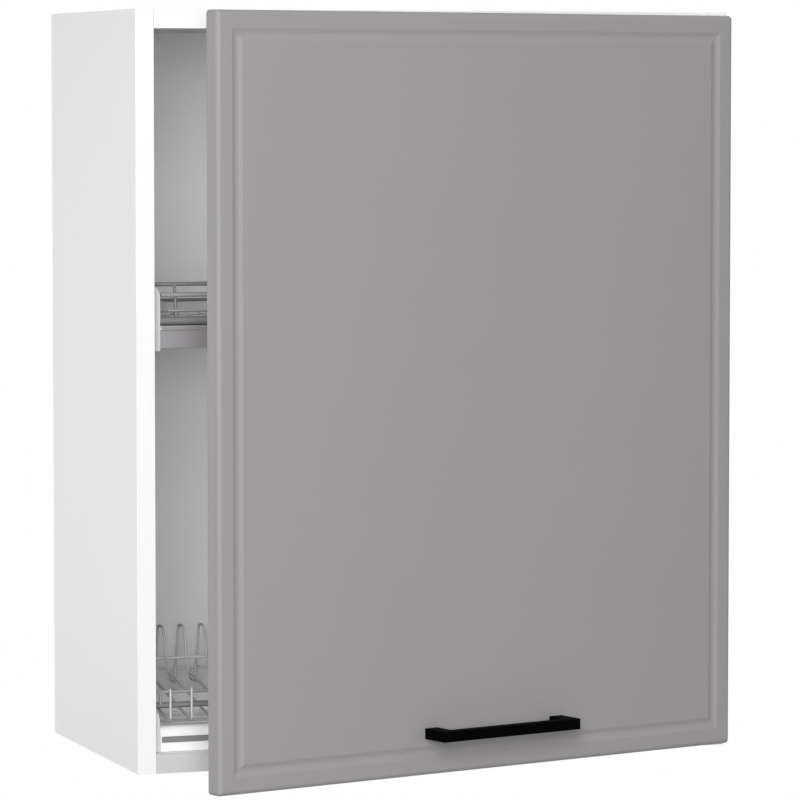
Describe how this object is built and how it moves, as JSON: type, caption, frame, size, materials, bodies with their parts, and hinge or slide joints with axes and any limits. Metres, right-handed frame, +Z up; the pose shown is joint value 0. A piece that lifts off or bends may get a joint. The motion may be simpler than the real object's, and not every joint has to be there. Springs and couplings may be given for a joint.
{
  "type": "kitchen cabinet",
  "caption": "Wall-hung kitchen cabinet for drying dishes, with one grey milled door on concealed hinges, a bar handle, a cup shelf, a plate rack and a drip tray.",
  "frame": {"origin": "centre of the back's rear face, which hangs flat on the wall", "axes": "+Y towards the wall, +Z up along the height, +X to the right seen from the front"},
  "size_m": [0.6, 0.4843, 0.72],
  "materials": {
    "white_laminate": "white laminated board",
    "white_back_board": "white lacquered thin board",
    "grey_lacquer": "warm grey matt film on a milled board",
    "black_metal": "satin black",
    "plated_steel": "nickel plated",
    "chromed_wire": "bright chrome",
    "shelf_aluminium": "satin anodised",
    "grey_plastic": "light grey moulded",
    "white_plastic": "white moulded"
  },
  "bodies": {
    "carcass": {"side_panel_left": "white_laminate", "side_panel_right": "white_laminate", "top_panel": "white_laminate", "bottom_panel": "white_laminate", "back_panel": "white_back_board", "hanger_housing_left": "grey_plastic", "hanger_housing_right": "grey_plastic", "hanger_hook_left": "plated_steel", "hanger_hook_right": "plated_steel", "hinge_plate_lower": "plated_steel", "hinge_plate_upper": "plated_steel", "hinge_arm_lower": "plated_steel", "hinge_arm_upper": "plated_steel", "shelf_bracket_left": "white_plastic", "shelf_bracket_right": "white_plastic", "rack_bracket_left": "white_plastic", "rack_bracket_right": "white_plastic", "shelf_rail_front": "shelf_aluminium", "shelf_rail_rear": "shelf_aluminium"},
    "door": {"door_panel": "grey_lacquer", "handle": "black_metal", "handle_screw_left": "plated_steel", "handle_screw_right": "plated_steel", "hinge_cup_lower": "plated_steel", "hinge_cup_upper": "plated_steel"},
    "outer_links": {"hinge_outer_link_lower": "plated_steel", "hinge_outer_link_upper": "plated_steel"},
    "inner_links": {"hinge_inner_link_lower": "plated_steel", "hinge_inner_link_upper": "plated_steel"},
    "cup_shelf": {"shelf_grid": "chromed_wire", "shelf_front_guard": "chromed_wire", "shelf_rear_guard": "chromed_wire"},
    "plate_rack": {"plate_rack_front_frame": "chromed_wire", "plate_rack_rear_frame": "chromed_wire", "plate_divider_01": "chromed_wire", "plate_divider_02": "chromed_wire", "plate_divider_03": "chromed_wire", "plate_divider_04": "chromed_wire", "plate_divider_05": "chromed_wire", "plate_divider_06": "chromed_wire", "plate_divider_07": "chromed_wire", "plate_divider_08": "chromed_wire", "plate_divider_09": "chromed_wire", "plate_divider_10": "chromed_wire", "plate_divider_11": "chromed_wire", "plate_divider_12": "chromed_wire", "plate_divider_13": "chromed_wire", "plate_divider_14": "chromed_wire", "plate_divider_15": "chromed_wire", "plate_divider_16": "chromed_wire", "plate_divider_17": "chromed_wire", "plate_divider_18": "chromed_wire", "plate_divider_19": "chromed_wire", "plate_divider_20": "chromed_wire", "plate_divider_21": "chromed_wire", "plate_divider_22": "chromed_wire", "plate_divider_23": "chromed_wire", "plate_divider_24": "chromed_wire", "plate_divider_25": "chromed_wire"},
    "tray": {"drip_tray": "white_plastic"}
  },
  "joints": [
    {"name": "door_swing", "type": "hinge", "parent": "carcass", "child": "door", "pos_m": [0.2923, -0.314, 0], "axis": [0, 0, 1], "range_deg": [-15.5, 94.5]},
    {"name": "outer_link_swing", "type": "hinge", "parent": "carcass", "child": "outer_links", "pos_m": [0.2923, -0.314, 0], "axis": [0, 0, 1], "range_deg": [-5.3, 31.7]},
    {"name": "inner_link_swing", "type": "hinge", "parent": "carcass", "child": "inner_links", "pos_m": [0.2923, -0.314, 0], "axis": [0, 0, 1], "range_deg": [-10.5, 63.2]},
    {"name": "cup_shelf_lift", "type": "slide", "parent": "carcass", "child": "cup_shelf", "axis": [0, 0, 1], "range_m": [0, 0.04]},
    {"name": "plate_rack_lift", "type": "slide", "parent": "carcass", "child": "plate_rack", "axis": [0, 0, 1], "range_m": [0, 0.04]},
    {"name": "drip_tray_slide", "type": "slide", "parent": "carcass", "child": "tray", "axis": [0, -1, 0], "range_m": [0, 0.013]}
  ],
  "couplings": [
    {"joint": "outer_link_swing", "follows": "door_swing", "ratio": 0.33333},
    {"joint": "inner_link_swing", "follows": "door_swing", "ratio": 0.66667}
  ]
}
